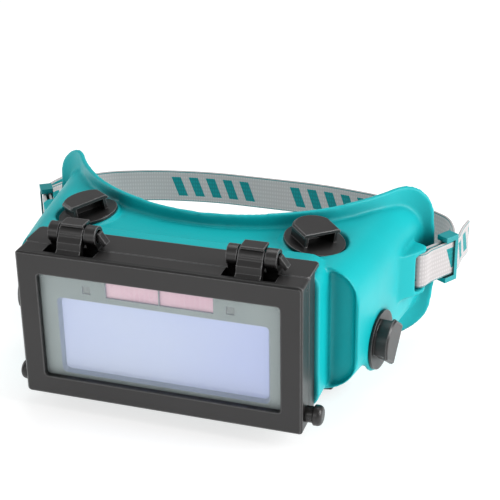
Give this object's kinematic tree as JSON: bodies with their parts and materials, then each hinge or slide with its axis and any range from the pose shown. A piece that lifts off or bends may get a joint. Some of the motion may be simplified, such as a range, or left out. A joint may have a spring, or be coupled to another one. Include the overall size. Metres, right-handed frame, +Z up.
{
  "type": "welding goggles",
  "caption": "Wide soft-bodied welding goggles with a flip-up auto-darkening front, hooded vents that turn and an elastic headband with sliders.",
  "frame": {"origin": "middle of the bounding box in plan, at its lowest point", "axes": "-Y is the way the goggles look, +X is to the right of somebody facing them, +Z up"},
  "size_m": [0.2004, 0.146, 0.0811],
  "materials": {
    "teal_pvc": "satin",
    "black_nylon": "satin moulded",
    "clear_polycarbonate": "polished",
    "spring_steel": "blackened",
    "cartridge_face": "satin",
    "cartridge_housing": "satin",
    "filter_coating": "mirror coated",
    "lcd_glass": "polished",
    "green_glass": "polished",
    "circuit_board": "solder mask",
    "solar_cell": "coated cell",
    "arc_sensor": "polished",
    "cell_steel": "nickel",
    "elastic_webbing": "woven",
    "teal_nylon": "satin"
  },
  "bodies": {
    "mask": {"mask_body": "teal_pvc", "rear_frame": "black_nylon", "inner_cover_lens": "clear_polycarbonate", "inner_lens_retainer": "black_nylon", "hinge_pin_left": "black_nylon", "hinge_pin_right": "black_nylon", "strap": "elastic_webbing"},
    "flip_front": {"front_frame": "black_nylon", "cover_lens": "clear_polycarbonate", "cartridge_front_shell": "cartridge_face", "cartridge_rear_shell": "cartridge_housing", "cartridge_retainer": "spring_steel", "filter_glass": "filter_coating", "lcd_shutter": "lcd_glass", "rear_glass": "green_glass", "circuit_board": "circuit_board", "solar_cell_left": "solar_cell", "solar_cell_right": "solar_cell", "arc_sensor_left": "arc_sensor", "arc_sensor_right": "arc_sensor", "button_cell_left": "cell_steel", "button_cell_right": "cell_steel", "lift_stud_left": "black_nylon", "lift_stud_right": "black_nylon"},
    "vent_top_left": {"vent_hood_top_left": "black_nylon", "vent_ring_top_left": "black_nylon"},
    "vent_top_right": {"vent_hood_top_right": "black_nylon", "vent_ring_top_right": "black_nylon"},
    "vent_side_left": {"vent_hood_side_left": "black_nylon", "vent_ring_side_left": "black_nylon"},
    "vent_side_right": {"vent_hood_side_right": "black_nylon", "vent_ring_side_right": "black_nylon"},
    "vent_bottom_left": {"vent_hood_bottom_left": "black_nylon", "vent_ring_bottom_left": "black_nylon"},
    "vent_bottom_right": {"vent_hood_bottom_right": "black_nylon", "vent_ring_bottom_right": "black_nylon"},
    "slider_left": {"strap_slider_left": "teal_nylon"},
    "slider_right": {"strap_slider_right": "teal_nylon"}
  },
  "joints": [
    {"name": "front_flip", "type": "hinge", "parent": "mask", "child": "flip_front", "pos_m": [0, -0.06205, 0.07612], "axis": [-1, 0, 0], "range_deg": [0, 108]},
    {"name": "vent_top_left_turn", "type": "hinge", "parent": "mask", "child": "vent_top_left", "pos_m": [-0.0496, -0.02305, 0.06612], "axis": [-0.1707, -0.0502, 0.984], "continuous": true},
    {"name": "vent_top_right_turn", "type": "hinge", "parent": "mask", "child": "vent_top_right", "pos_m": [0.0496, -0.02305, 0.06612], "axis": [0.1707, -0.0502, 0.984], "continuous": true},
    {"name": "vent_side_left_turn", "type": "hinge", "parent": "mask", "child": "vent_side_left", "pos_m": [-0.077, -0.02105, 0.02472], "axis": [-0.9915, -0.1302, 0], "continuous": true},
    {"name": "vent_side_right_turn", "type": "hinge", "parent": "mask", "child": "vent_side_right", "pos_m": [0.077, -0.02105, 0.02472], "axis": [0.9915, -0.1302, 0], "continuous": true},
    {"name": "vent_bottom_left_turn", "type": "hinge", "parent": "mask", "child": "vent_bottom_left", "pos_m": [-0.0506, -0.02505, 0.00832], "axis": [-0.1202, -0.0501, -0.9915], "continuous": true},
    {"name": "vent_bottom_right_turn", "type": "hinge", "parent": "mask", "child": "vent_bottom_right", "pos_m": [0.0506, -0.02505, 0.00832], "axis": [0.1202, -0.0501, -0.9915], "continuous": true},
    {"name": "slider_left_slide", "type": "slide", "parent": "mask", "child": "slider_left", "axis": [0.5365, -0.8439, 0], "range_m": [0, 0.006]},
    {"name": "slider_right_slide", "type": "slide", "parent": "mask", "child": "slider_right", "axis": [-0.5365, -0.8439, 0], "range_m": [0, 0.006]}
  ]
}
